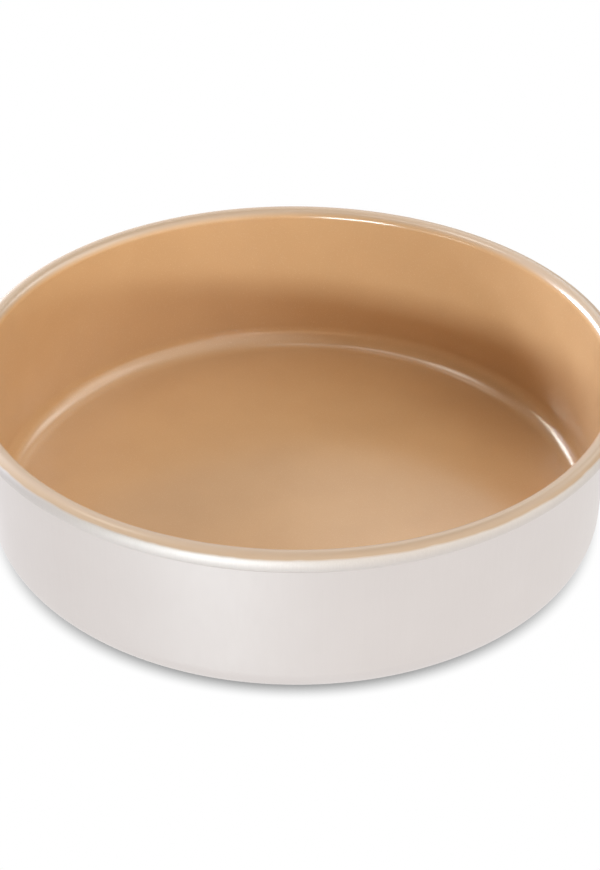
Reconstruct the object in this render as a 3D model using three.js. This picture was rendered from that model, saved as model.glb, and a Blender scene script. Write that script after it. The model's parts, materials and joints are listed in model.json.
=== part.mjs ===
// Round cake pan: a shell drawn from one metal sheet, a wire ring rolled into its rim, and a nonstick lining.
// Millimetres, +Z up. The origin is the middle of the underside, on the surface that the pan stands on.

import * as THREE from 'three';

const { degToRad } = THREE.MathUtils;

// Driving dimensions
const insideDiameter = 228.6;          // clear width where the wall meets the floor: a nine-inch pan
const overallHeight = 64;              // from the underside to the top of the rim
const wallLean = degToRad(1.2);        // how far the wall opens outward from the vertical
const cornerRadius = 8.5;              // inside, between the floor and the wall
const sheetThickness = 1.2;            // metal of the shell
const coatThickness = 0.1;             // nonstick lining
const coatSeatGap = 0.02;              // between the lining and the sheet that it lies on
const coatEdgeAngle = degToRad(42);    // where the lining ends on the rim, above the outward horizontal
const wireDiameter = 4.4;              // wire inside the rolled rim
const wireClearance = 0.3;             // between the wire and the sheet that is rolled round it
const curlEndGap = 0.3;                // between the end of the rolled sheet and the outside of the wall

// Fineness of the round faces
const turnSegments = 72;               // once round the pan
const arcStep = degToRad(22.5);        // along an arc of the section
const wireSides = 12;

// Section through the pan, with x as the distance from the axis and y as the height.
// The faces of the lining and the sheet run side by side. Each is named by its depth below the lining's
// seen face, and every round stretch has one centre for all of them.
const coatBack = coatThickness;
const sheetInside = coatBack + coatSeatGap;
const sheetOutside = sheetInside + sheetThickness;

const floorTop = sheetOutside;
const curlInnerRadius = wireDiameter / 2 + wireClearance;
const curlOuterRadius = curlInnerRadius + sheetThickness;
const rimRadius = curlInnerRadius + sheetOutside;

// Directions of the section's arcs, seen from their centres
const straightUp = Math.PI / 2;
const straightOut = 0;
const straightDown = -Math.PI / 2;
const outwardFromCorner = -wallLean;
const inwardFromRim = Math.PI - wallLean;

// The rolled sheet stops where its outer edge comes within the gap of the wall.
const curlEndAngle = -wallLean - Math.acos((curlEndGap - curlInnerRadius) / curlOuterRadius);

// Clear radius of the pan at a height on the wall, as if the wall ran straight down to the floor.
function insideRadiusAt(height) {
  return insideDiameter / 2 + (height - floorTop) * Math.tan(wallLean);
}

const cornerHeight = floorTop + cornerRadius;
const cornerCentre = new THREE.Vector2(
  insideRadiusAt(cornerHeight) - cornerRadius / Math.cos(wallLean),
  cornerHeight,
);

const rimHeight = overallHeight - rimRadius;
const rimCentre = new THREE.Vector2(
  insideRadiusAt(rimHeight) + rimRadius / Math.cos(wallLean),
  rimHeight,
);

// Angles from the first stop to the last in even steps, with every stop among them.
function anglesThrough(stops) {
  const angles = [stops[0]];
  for (let next = 1; next < stops.length; next += 1) {
    const from = stops[next - 1];
    const to = stops[next];
    const steps = Math.ceil(Math.abs(to - from) / arcStep);
    for (let step = 1; step <= steps; step += 1) {
      angles.push(THREE.MathUtils.lerp(from, to, step / steps));
    }
  }
  return angles;
}

// Points along an arc, with both of its ends and any stop between them.
function arc(centre, radius, ...stops) {
  return anglesThrough(stops).map((angle) => new THREE.Vector2(
    centre.x + radius * Math.cos(angle),
    centre.y + radius * Math.sin(angle),
  ));
}

// One face that runs along the floor from the axis, round the corner, up the wall and over the rim
// to the lining's edge.
function insideFace(depth) {
  return [
    new THREE.Vector2(0, floorTop - depth),
    ...arc(cornerCentre, cornerRadius + depth, straightDown, outwardFromCorner),
    ...arc(rimCentre, rimRadius - depth, inwardFromRim, straightUp, coatEdgeAngle),
  ];
}

// A closed section turned once round the pan's axis.
function turned(section) {
  const geometry = new THREE.LatheGeometry(section, turnSegments);
  geometry.rotateX(Math.PI / 2);
  return geometry;
}

// Bare satin aluminium: floor, wall and rolled rim in one piece. The slit at the end of the roll stays open.
function makeShell() {
  const section = [
    ...insideFace(sheetInside),
    ...arc(rimCentre, curlOuterRadius, coatEdgeAngle, straightOut, curlEndAngle).slice(1),
    ...arc(rimCentre, curlInnerRadius, curlEndAngle, inwardFromRim),
    ...arc(cornerCentre, cornerRadius + sheetOutside, outwardFromCorner, straightDown),
    new THREE.Vector2(0, floorTop - sheetOutside),
  ];
  const material = new THREE.MeshStandardMaterial({ color: 0xdedad7, roughness: 0.38, metalness: 1 });
  const mesh = new THREE.Mesh(turned(section.reverse()), material);
  mesh.name = 'pan_shell';
  return mesh;
}

// Galvanised steel ring that stiffens the rim.
function makeRimWire() {
  const geometry = new THREE.TorusGeometry(rimCentre.x, wireDiameter / 2, wireSides, turnSegments);
  const material = new THREE.MeshStandardMaterial({ color: 0xa9acae, roughness: 0.45, metalness: 1 });
  const mesh = new THREE.Mesh(geometry, material);
  mesh.name = 'rim_wire';
  mesh.position.z = rimCentre.y;
  return mesh;
}

// Gold nonstick film over the floor, the wall and the top of the rim.
function makeLining() {
  const section = [...insideFace(coatBack), ...insideFace(0).reverse()];
  const material = new THREE.MeshStandardMaterial({ color: 0xc49b71, roughness: 0.35, metalness: 0.3 });
  const mesh = new THREE.Mesh(turned(section), material);
  mesh.name = 'nonstick_lining';
  return mesh;
}

const cakePan = new THREE.Group();
cakePan.add(makeShell(), makeRimWire(), makeLining());

export default cakePan;
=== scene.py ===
"""Round cake pan: a satin metal shell, a gold nonstick lining and the wire inside the rolled rim."""

import json
import math

import bpy
from mathutils import Matrix, Vector


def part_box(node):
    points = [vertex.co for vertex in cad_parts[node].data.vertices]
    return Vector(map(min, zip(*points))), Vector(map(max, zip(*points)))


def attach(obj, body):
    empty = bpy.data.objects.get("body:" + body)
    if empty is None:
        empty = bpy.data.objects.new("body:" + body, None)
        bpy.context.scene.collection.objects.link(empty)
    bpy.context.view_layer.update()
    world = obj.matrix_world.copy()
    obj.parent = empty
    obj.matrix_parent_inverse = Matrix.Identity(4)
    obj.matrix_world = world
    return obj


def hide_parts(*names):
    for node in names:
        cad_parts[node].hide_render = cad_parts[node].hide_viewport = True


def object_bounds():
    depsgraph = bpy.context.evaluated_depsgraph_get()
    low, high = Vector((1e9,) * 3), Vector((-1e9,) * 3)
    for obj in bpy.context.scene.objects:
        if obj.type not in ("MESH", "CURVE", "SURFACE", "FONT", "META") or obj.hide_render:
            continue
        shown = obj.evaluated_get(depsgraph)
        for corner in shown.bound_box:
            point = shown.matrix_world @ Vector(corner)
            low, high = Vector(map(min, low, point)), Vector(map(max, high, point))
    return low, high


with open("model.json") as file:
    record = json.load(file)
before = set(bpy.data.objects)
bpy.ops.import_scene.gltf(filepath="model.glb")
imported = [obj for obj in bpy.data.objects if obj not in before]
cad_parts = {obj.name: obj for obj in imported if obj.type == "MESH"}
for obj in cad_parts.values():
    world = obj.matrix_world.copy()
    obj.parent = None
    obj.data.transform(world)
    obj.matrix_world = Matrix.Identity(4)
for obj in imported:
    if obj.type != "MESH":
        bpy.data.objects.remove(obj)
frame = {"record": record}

cad_low, cad_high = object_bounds()

# Sizes of the pan, in metres
MM = 0.001
inside_diameter = 228.6 * MM
wall_lean = math.radians(1.2)
corner_radius = 8.5 * MM
sheet_thickness = 1.2 * MM
coat_edge_angle = math.radians(42)
curl_end_gap = 0.3 * MM

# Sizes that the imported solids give
wire_low, wire_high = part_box("rim_wire")
wire_radius = (wire_high.z - wire_low.z) / 2
rim_height = (wire_high.z + wire_low.z) / 2
rim_ring_radius = wire_high.x - wire_radius
rim_radius = cad_high.z - rim_height
floor_top = next(m["pos_m"][2] for m in frame["record"]["mounts"] if m["name"] == "inside_floor")
coat_back = floor_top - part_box("nonstick_lining")[0].z

# Depths of the sheet's faces below the lining's seen face
sheet_inside = floor_top - sheet_thickness
sheet_outside = floor_top
curl_outer_radius = rim_radius - sheet_inside
curl_inner_radius = rim_radius - sheet_outside

# Fineness of the meshes
turn_steps = 288
arc_step = math.radians(6)
flat_step = 7 * MM
weld_distance = 0.001 * MM
smooth_angle = math.radians(40)

# Directions of the section's arcs, seen from their centres
straight_down = -math.pi / 2
outward_from_corner = -wall_lean
inward_from_rim = math.pi - wall_lean
curl_end_angle = -wall_lean - math.acos((curl_end_gap - curl_inner_radius) / curl_outer_radius)


# Section of the pan, in the XZ plane

def inside_radius_at(height):
    """Clear radius of the pan at a height, as if the wall ran straight down to the floor."""
    return inside_diameter / 2 + (height - floor_top) * math.tan(wall_lean)


corner_height = floor_top + corner_radius
corner_ring_radius = inside_radius_at(corner_height) - corner_radius / math.cos(wall_lean)
corner_centre = Vector((corner_ring_radius, 0, corner_height))
rim_centre = Vector((rim_ring_radius, 0, rim_height))


def arc(centre, radius, start, end):
    """Points along an arc, with both of its ends."""
    steps = math.ceil(abs(end - start) / arc_step)
    angles = [start + (end - start) * i / steps for i in range(steps + 1)]
    return [centre + radius * Vector((math.cos(a), 0, math.sin(a))) for a in angles]


def straight(start, end):
    """Points between two ends, without the ends."""
    steps = math.ceil((end - start).length / flat_step)
    return [start.lerp(end, i / steps) for i in range(1, steps)]


def joined(*stretches):
    """Stretches of a section with straight runs between them."""
    points = list(stretches[0])
    for stretch in stretches[1:]:
        points += straight(points[-1], stretch[0]) + list(stretch)
    return points


def inside_face(depth):
    """Along the floor from the axis, round the corner, up the wall and over the rim to the film's edge."""
    return joined(
        [Vector((0, 0, floor_top - depth))],
        arc(corner_centre, corner_radius + depth, straight_down, outward_from_corner),
        arc(rim_centre, rim_radius - depth, inward_from_rim, coat_edge_angle),
    )


# Modelling

def deselect_everything():
    if bpy.context.object and bpy.context.object.mode != "OBJECT":
        bpy.ops.object.mode_set(mode="OBJECT")
    bpy.ops.object.select_all(action="DESELECT")


def trace_section(name, outline):
    """Draws an outline from one vertex, point by point, and leaves it selected in edit mode."""
    deselect_everything()
    bpy.ops.mesh.primitive_plane_add(size=MM, location=outline[0])
    piece = bpy.context.object
    piece.name = name
    piece.data.name = name
    bpy.ops.object.transform_apply(location=True, rotation=True, scale=True)
    bpy.ops.object.mode_set(mode="EDIT")
    bpy.ops.mesh.select_mode(type="VERT")
    bpy.ops.mesh.select_all(action="SELECT")
    bpy.ops.mesh.merge(type="CENTER")
    for here, there in zip(outline, outline[1:]):
        bpy.ops.mesh.extrude_region_move(TRANSFORM_OT_translate={"value": there - here})
    bpy.ops.mesh.select_all(action="SELECT")
    return piece


def spin_round(piece):
    """Turns the traced section once round the pan's axis and closes the solid."""
    bpy.ops.mesh.spin(steps=turn_steps, angle=math.tau, center=(0, 0, 0), axis=(0, 0, 1))
    bpy.ops.mesh.select_all(action="SELECT")
    bpy.ops.mesh.remove_doubles(threshold=weld_distance)
    bpy.ops.mesh.normals_make_consistent(inside=False)
    bpy.ops.object.mode_set(mode="OBJECT")
    bpy.ops.object.shade_smooth_by_angle(angle=smooth_angle)
    return piece


def make_shell():
    """Floor, wall and rolled rim in one sheet."""
    outline = joined(
        inside_face(sheet_inside),
        arc(rim_centre, curl_outer_radius, coat_edge_angle, curl_end_angle)[1:],
        arc(rim_centre, curl_inner_radius, curl_end_angle, inward_from_rim),
        arc(corner_centre, corner_radius + sheet_outside, outward_from_corner, straight_down),
        [Vector((0, 0, 0))],
    )
    return spin_round(trace_section("pan_shell_metal", outline + outline[:1]))


def make_lining():
    """Film over the floor, the corner, the wall and the top of the rim."""
    outline = inside_face(coat_back) + inside_face(0)[::-1]
    return spin_round(trace_section("gold_lining", outline + outline[:1]))


def make_rim_wire():
    """Ring inside the rolled rim."""
    outline = arc(rim_centre, wire_radius, 0, math.tau)
    return spin_round(trace_section("rim_wire_ring", outline))


# Materials

def feed(material, socket, value):
    """Links another node's output to a socket, or writes a plain value there."""
    if isinstance(value, bpy.types.NodeSocket):
        material.node_tree.links.new(value, socket)
    else:
        socket.default_value = value


def add_node(material, kind, inputs, **settings):
    """A shader node with its settings made and its inputs linked or filled in."""
    node = material.node_tree.nodes.new(kind)
    for name, value in settings.items():
        setattr(node, name, value)
    for socket, value in inputs.items():
        feed(material, node.inputs[socket], value)
    return node


def new_material(name):
    """A material with its shader and the place of each surface point, in metres in the pan's frame."""
    material = bpy.data.materials.new(name)
    material.use_nodes = True
    surface = material.node_tree.nodes["Principled BSDF"]
    place = add_node(material, "ShaderNodeTexCoord", {}).outputs["Object"]
    return material, surface, place


def calculate(material, operation, first, second):
    return add_node(material, "ShaderNodeMath", {0: first, 1: second}, operation=operation).outputs[0]


def remap(material, value, source, target):
    """Carries one range of values smoothly to another, and holds its ends."""
    inputs = {
        "Value": value,
        "From Min": source[0],
        "From Max": source[1],
        "To Min": target[0],
        "To Max": target[1],
    }
    return add_node(material, "ShaderNodeMapRange", inputs, interpolation_type="SMOOTHSTEP").outputs["Result"]


def noise(material, place, sizes, detail=2):
    """Soft noise about 0.5, in blots of the given sizes along X, Y and Z."""
    spread = add_node(material, "ShaderNodeVectorMath", {0: place, 1: sizes}, operation="DIVIDE").outputs[0]
    inputs = {"Vector": spread, "Scale": 1, "Detail": detail}
    return add_node(material, "ShaderNodeTexNoise", inputs).outputs["Fac"]


def even_noise(material, place, size, detail=2):
    return noise(material, place, (size, size, size), detail)


def blend(material, share, first, second):
    """Goes from the first colour to the second as the share goes from 0 to 1."""
    factor_socket, first_socket, second_socket, colour_result = 0, 6, 7, 2
    inputs = {factor_socket: share, first_socket: first, second_socket: second}
    return add_node(material, "ShaderNodeMix", inputs, data_type="RGBA").outputs[colour_result]


def relief(material, height, depth):
    """Surface direction of a fine relief that is a given depth from its lowest to its highest point."""
    inputs = {"Height": height, "Distance": depth, "Strength": 1}
    return add_node(material, "ShaderNodeBump", inputs).outputs["Normal"]


def angle_round_rim(material, place, lowest):
    """Angle about the middle of the rolled rim, from the outward horizontal.

    Points lower than the lowest height, which counts from that middle, are taken to lie at it.
    """
    in_plan = {0: place, 1: (1, 1, 0)}
    level = add_node(material, "ShaderNodeVectorMath", in_plan, operation="MULTIPLY").outputs[0]
    distance = add_node(material, "ShaderNodeVectorMath", {0: level}, operation="LENGTH").outputs["Value"]
    height = add_node(material, "ShaderNodeSeparateXYZ", {"Vector": place}).outputs["Z"]
    outward = calculate(material, "SUBTRACT", distance, rim_ring_radius)
    upward = calculate(material, "MAXIMUM", calculate(material, "SUBTRACT", height, rim_height), lowest)
    return calculate(material, "ARCTAN2", upward, outward)


# Colours
gold = (0.56, 0.338, 0.172, 1)
gold_deep = (0.54, 0.323, 0.163, 1)
gold_fleck = (0.62, 0.41, 0.25, 1)
gold_thin = (0.45, 0.322, 0.23, 1)
bare_metal = (0.73, 0.68, 0.66, 1)
bare_metal_dull = (0.705, 0.655, 0.635, 1)
rolled_metal = (0.64, 0.595, 0.575, 1)
zinc_light = (0.46, 0.47, 0.48, 1)
zinc_dark = (0.34, 0.35, 0.36, 1)

# How the film thins out over the rim, as angles above the outward horizontal
film_full_angle = math.radians(165)
film_thin_angle = math.radians(125)
film_crest_angle = math.radians(95)
film_fade_angle = math.radians(46)
film_end_angle = math.radians(31)
film_waver = math.radians(4)

# Finish of the film
waver_size = 14 * MM
mottle_size = 28 * MM
fleck_size = 0.35 * MM
fleck_strength = 0.5
smear_sizes = (9 * MM, 30 * MM, 16 * MM)
film_roughness = (0.38, 0.46)
film_specular_level = 0.1
peel_size = 1.6 * MM
peel_depth = 0.006 * MM
gloss_roughness = 0.2
gloss_ior = 1.7
gloss_at_film_edge = 0.1

# Finish of the bare metal. The rolled rim grows duller from its foot upward.
cloud_size = 30 * MM
draw_mark_sizes = (1.5 * MM, 1.5 * MM, 60 * MM)
draw_mark_strength = 0.25
grain_sizes = (0.3 * MM, 0.3 * MM, 8 * MM)
grain_depth = 0.0006 * MM
metal_roughness = (0.37, 0.43)
metal_anisotropy = 0.3
quarter_turn = 0.25
roll_foot = rim_height - curl_outer_radius
roll_dulling = (roll_foot + 0.8 * MM, roll_foot + 2.4 * MM)
roll_extra_roughness = 0.28

# Finish of the wire
zinc_patch_size = 2.5 * MM
zinc_roughness = (0.42, 0.58)

# Ranges of the noise that are stretched to the whole of an effect. Its values lie about 0.5.
most_noise = (0.25, 0.75)
middle_noise = (0.3, 0.7)
peaks_of_noise = (0.66, 0.76)
cloud_and_mark_noise = (0.3, 1.1)


def film_cover(material, angle, place):
    """Share of the surface that the film hides: whole above its edge on the rim, and none below."""
    waver = even_noise(material, place, waver_size)
    shift = remap(material, waver, most_noise, (-film_waver, film_waver))
    wavering = calculate(material, "ADD", angle, shift)
    return remap(material, wavering, (film_end_angle, film_fade_angle), (0, 1))


def film_colour(material, angle, place):
    """Gold tan, faintly mottled, with fine metallic flecks, and paler where it is thin over the rim."""
    mottle = remap(material, even_noise(material, place, mottle_size), middle_noise, (0, 1))
    fleck = remap(material, even_noise(material, place, fleck_size, 0), peaks_of_noise, (0, fleck_strength))
    thick = blend(material, fleck, blend(material, mottle, gold_deep, gold), gold_fleck)
    thickness = remap(material, angle, (film_thin_angle, film_full_angle), (0, 1))
    return blend(material, thickness, gold_thin, thick)


def metal_colour(material, place):
    """Satin sheet with broad, soft clouds and hardly any draw marks."""
    clouds = even_noise(material, place, cloud_size, 3)
    draw_marks = noise(material, place, draw_mark_sizes, 3)
    faint_marks = calculate(material, "MULTIPLY", draw_marks, draw_mark_strength)
    tone = calculate(material, "ADD", faint_marks, clouds)
    return blend(material, remap(material, tone, cloud_and_mark_noise, (0, 1)), bare_metal_dull, bare_metal)


def make_gold_nonstick():
    """Sprayed and baked film, semi-gloss, with the metal showing through towards its edge on the rim."""
    material, surface, place = new_material("gold_nonstick")
    angle = angle_round_rim(material, place, 0)
    cover = film_cover(material, angle, place)
    film = film_colour(material, angle, place)
    feed(material, surface.inputs["Base Color"], blend(material, cover, bare_metal, film))
    feed(material, surface.inputs["Metallic"], calculate(material, "SUBTRACT", 1, cover))
    smear = noise(material, place, smear_sizes, 3)
    feed(material, surface.inputs["Roughness"], remap(material, smear, most_noise, film_roughness))
    peel = even_noise(material, place, peel_size)
    feed(material, surface.inputs["Normal"], relief(material, peel, peel_depth))
    surface.inputs["Specular IOR Level"].default_value = film_specular_level
    gloss = remap(material, angle, (film_fade_angle, film_crest_angle), (gloss_at_film_edge, 1))
    feed(material, surface.inputs["Coat Weight"], gloss)
    surface.inputs["Coat Roughness"].default_value = gloss_roughness
    surface.inputs["Coat IOR"].default_value = gloss_ior
    return material


def make_aluminium():
    """Bare satin sheet with upright grain, a duller roll, and the last of the film on the rim."""
    material, surface, place = new_material("bare_aluminium")
    cover = film_cover(material, angle_round_rim(material, place, -rim_height), place)
    height = add_node(material, "ShaderNodeSeparateXYZ", {"Vector": place}).outputs["Z"]
    rolled = remap(material, height, roll_dulling, (0, 1))
    metal = blend(material, rolled, metal_colour(material, place), rolled_metal)
    feed(material, surface.inputs["Base Color"], blend(material, cover, metal, gold_thin))
    feed(material, surface.inputs["Metallic"], calculate(material, "SUBTRACT", 1, cover))
    grain = noise(material, place, grain_sizes)
    wall_roughness = remap(material, grain, middle_noise, metal_roughness)
    roll_roughness = calculate(material, "MULTIPLY", rolled, roll_extra_roughness)
    feed(material, surface.inputs["Roughness"], calculate(material, "ADD", wall_roughness, roll_roughness))
    surface.inputs["Anisotropic"].default_value = metal_anisotropy
    surface.inputs["Anisotropic Rotation"].default_value = quarter_turn
    feed(material, surface.inputs["Normal"], relief(material, grain, grain_depth))
    return material


def make_galvanised():
    """Dull zinc with its crystal patches."""
    material, surface, place = new_material("galvanised_wire")
    patches = add_node(material, "ShaderNodeTexVoronoi", {"Vector": place, "Scale": 1 / zinc_patch_size})
    tints = {"Color": patches.outputs["Color"]}
    shade = add_node(material, "ShaderNodeSeparateColor", tints).outputs["Red"]
    feed(material, surface.inputs["Base Color"], blend(material, shade, zinc_dark, zinc_light))
    surface.inputs["Metallic"].default_value = 1
    feed(material, surface.inputs["Roughness"], remap(material, shade, (0, 1), zinc_roughness))
    return material


shell = make_shell()
lining = make_lining()
rim_wire = make_rim_wire()
for piece, node, material in (
    (shell, "pan_shell", make_aluminium()),
    (lining, "nonstick_lining", make_gold_nonstick()),
    (rim_wire, "rim_wire", make_galvanised()),
):
    piece.data.materials.append(material)
    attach(piece, "root")
    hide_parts(node)


# Stage

floor_size = 8.0
floor_gap = 0.05 * MM
floor_white = (0.9, 0.9, 0.9, 1)

# Shade on the floor close under the pan
shade_reach = 5.6 * MM
shade_depth = 0.85
shade_falloff = 1.9

# Lamps, all equally far from the middle of the pan
lamp_distance = 1.0
lamp_target = Vector((0, 0, 30 * MM))

# Camera, fitted to the outlines of the pan in the photograph
camera_place = Vector((1.72, -629.38, 449.84)) * MM
camera_pitch = math.radians(33.759)
camera_roll = math.radians(0.408)
camera_lens = 82.773
camera_sensor = 36


def make_floor():
    """White ground that is seen as pure white, apart from the shade close under the pan."""
    deselect_everything()
    bpy.ops.mesh.primitive_plane_add(size=floor_size, location=(0, 0, -floor_gap))
    floor = bpy.context.object
    floor.name = "studio_floor"
    material, surface, _ = new_material("white_floor")
    material.node_tree.nodes.remove(surface)
    lit = add_node(material, "ShaderNodeBsdfDiffuse", {"Color": floor_white}).outputs["BSDF"]
    openness = add_node(material, "ShaderNodeAmbientOcclusion", {"Distance": shade_reach}).outputs["AO"]
    ray = add_node(material, "ShaderNodeLightPath", {}).outputs
    closeness = calculate(material, "SUBTRACT", 1, openness)
    falloff = calculate(material, "POWER", closeness, shade_falloff)
    darkening = calculate(material, "MULTIPLY", falloff, shade_depth)
    shade = calculate(material, "SUBTRACT", 1, darkening)
    brightness = calculate(material, "MAXIMUM", shade, ray["Is Glossy Ray"])
    seen = add_node(material, "ShaderNodeEmission", {"Strength": brightness}).outputs["Emission"]
    straight_or_mirrored = calculate(material, "MAXIMUM", ray["Is Camera Ray"], ray["Is Glossy Ray"])
    looked_at = calculate(material, "MAXIMUM", straight_or_mirrored, ray["Is Transmission Ray"])
    mixed = add_node(material, "ShaderNodeMixShader", {0: looked_at, 1: lit, 2: seen}).outputs["Shader"]
    feed(material, material.node_tree.nodes["Material Output"].inputs["Surface"], mixed)
    floor.data.materials.append(material)


def side_direction(azimuth, elevation):
    """Direction to a place round the pan, in degrees from the camera's side to the right, and upward."""
    turn = math.radians(azimuth)
    rise = math.radians(elevation)
    return Vector((math.sin(turn) * math.cos(rise), -math.cos(turn) * math.cos(rise), math.sin(rise)))


# Glows of the sky: azimuth and elevation in degrees, closeness where one starts and is full, colour
sky_glows = (
    (60, 30, (0.4, 1.0), (1.72, 1.68, 1.52)),
    (180, 20, (0.3, 1.0), (0.55, 0.58, 0.56)),
    (270, 15, (0.0, 0.7), (0.12, 0.07, 0.04)),
    (270, 60, (0.5, 1.0), (0.12, 0.10, 0.07)),
)


def make_sky():
    """A glow on the right, a weaker one behind, and faint warm ones on the left."""
    world = bpy.data.worlds.new("studio_sky")
    world.use_nodes = True
    bpy.context.scene.world = world
    looked_to = add_node(world, "ShaderNodeTexCoord", {}).outputs["Generated"]
    total = (0, 0, 0)
    for azimuth, elevation, fade, colour in sky_glows:
        towards = {0: looked_to, 1: side_direction(azimuth, elevation)}
        closeness = add_node(world, "ShaderNodeVectorMath", towards, operation="DOT_PRODUCT").outputs["Value"]
        scaled = {0: colour, "Scale": remap(world, closeness, fade, (0, 1))}
        glow = add_node(world, "ShaderNodeVectorMath", scaled, operation="SCALE").outputs[0]
        both = {0: total, 1: glow}
        total = add_node(world, "ShaderNodeVectorMath", both, operation="ADD").outputs[0]
    feed(world, world.node_tree.nodes["Background"].inputs["Color"], total)
    world.node_tree.nodes["Background"].inputs["Strength"].default_value = 1


def make_lamp(name, azimuth, elevation, width, height, brightness, colour):
    """A flat lamp turned to the pan."""
    outward = side_direction(azimuth, elevation)
    data = bpy.data.lights.new(name, "AREA")
    data.shape = "RECTANGLE"
    data.size = width
    data.size_y = height
    data.energy = brightness * math.pi * width * height
    data.color = colour
    lamp = bpy.data.objects.new(name, data)
    turned_to_pan = outward.to_track_quat("Z", "Y").to_matrix().to_4x4()
    lamp.matrix_world = Matrix.Translation(lamp_target + outward * lamp_distance) @ turned_to_pan
    lamp.visible_camera = False
    bpy.context.scene.collection.objects.link(lamp)


# Lamps: name, azimuth and elevation in degrees, width and height in metres, brightness, tint
studio_lamps = (
    # Low in front: the top of the far wall, and the outside of the pan
    ("front_strip", 337, 10.2, 0.44, 0.06, 79, (0.85, 1, 1.06)),
    ("left_strip", 300, 10.2, 0.30, 0.06, 12, (1, 1, 0.95)),
    ("front_fill", 0, 17, 1.20, 0.12, 2.2, (1, 0.64, 0.38)),
    # Behind on the left: the right wall, its rim and the right end of the corner
    ("back_left_lamp", 236, 18, 0.16, 0.12, 95, (0.88, 1, 1.20)),
    ("back_lamp", 216, 18, 0.16, 0.12, 105, (0.86, 1, 1.22)),
    ("back_lamp_glow", 220, 28, 0.24, 0.16, 18, (0.95, 1, 1)),
    ("corner_lamp", 234, 28, 0.12, 0.10, 18, (1, 1, 0.85)),
    # Above: the line of sheen round the far corner
    ("high_left_panel", 245, 62, 0.30, 0.20, 4.2, (1, 1, 0.92)),
    ("overhead_left_panel", 265, 76, 0.22, 0.20, 2, (1, 1, 1)),
    ("overhead_panel", 180, 87, 0.16, 0.16, 2, (1, 1, 0.95)),
    # Behind and on the right: the sheen on the near floor and in the left corner
    ("back_right_panel", 160, 27, 0.24, 0.13, 2, (0.80, 1, 1.20)),
    ("back_window", 172, 38, 0.22, 0.12, 1.5, (1, 1, 0.90)),
    ("right_panel", 108, 44, 0.80, 0.50, 1.2, (0.95, 1, 1)),
    ("right_back_panel", 134, 38, 0.34, 0.30, 1.8, (1, 1, 0.95)),
)


def make_lamps():
    for lamp in studio_lamps:
        make_lamp(*lamp)


def make_camera():
    """The photograph's viewpoint: in front of the pan and above it."""
    camera_data = bpy.data.cameras.new("photo_camera")
    camera = bpy.data.objects.new("photo_camera", camera_data)
    bpy.context.scene.collection.objects.link(camera)
    camera_data.sensor_width = camera_sensor
    camera_data.lens = camera_lens
    camera.matrix_world = (
        Matrix.Translation(camera_place)
        @ Matrix.Rotation(math.pi / 2 - camera_pitch, 4, "X")
        @ Matrix.Rotation(camera_roll, 4, "Z")
    )
    bpy.context.scene.camera = camera


make_floor()
make_sky()
make_lamps()
make_camera()
bpy.context.scene.view_settings.view_transform = "Standard"
